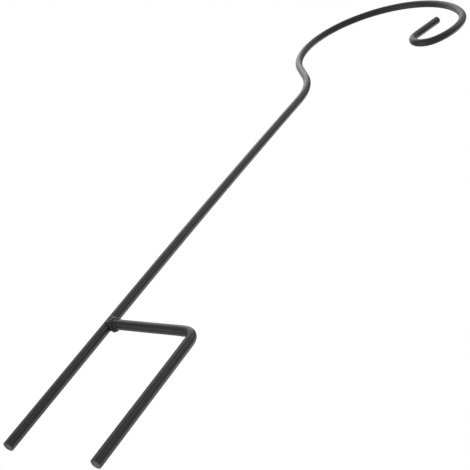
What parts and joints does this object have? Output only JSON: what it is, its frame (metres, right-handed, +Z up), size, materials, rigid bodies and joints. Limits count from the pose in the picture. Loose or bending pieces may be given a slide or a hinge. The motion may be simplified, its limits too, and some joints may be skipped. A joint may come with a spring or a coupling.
{
  "type": "garden hook",
  "caption": "Round steel garden hook: a pole with ground prongs and a step bar, topped by an inward-curled crook that holds a feeder or lantern.",
  "frame": {"origin": "middle of the flat bottom end of the pole, which is the main prong", "axes": "+Z up along the foot of the pole, +X from the pole towards the side prong and the curled end of the hook, +Y away from the side the side prong swings to"},
  "size_m": [0.2389, 0.0156, 0.883],
  "materials": {
    "rod_coat": "black powder coat, satin, with a fine orange-peel skin",
    "bead_coat": "the same black powder coat, glossier over the lumps of the weld"
  },
  "bodies": {
    "root": {"main_rod": "rod_coat", "prong_rod": "rod_coat", "weld_bead_front": "bead_coat", "weld_bead_back": "bead_coat"}
  },
  "joints": []
}
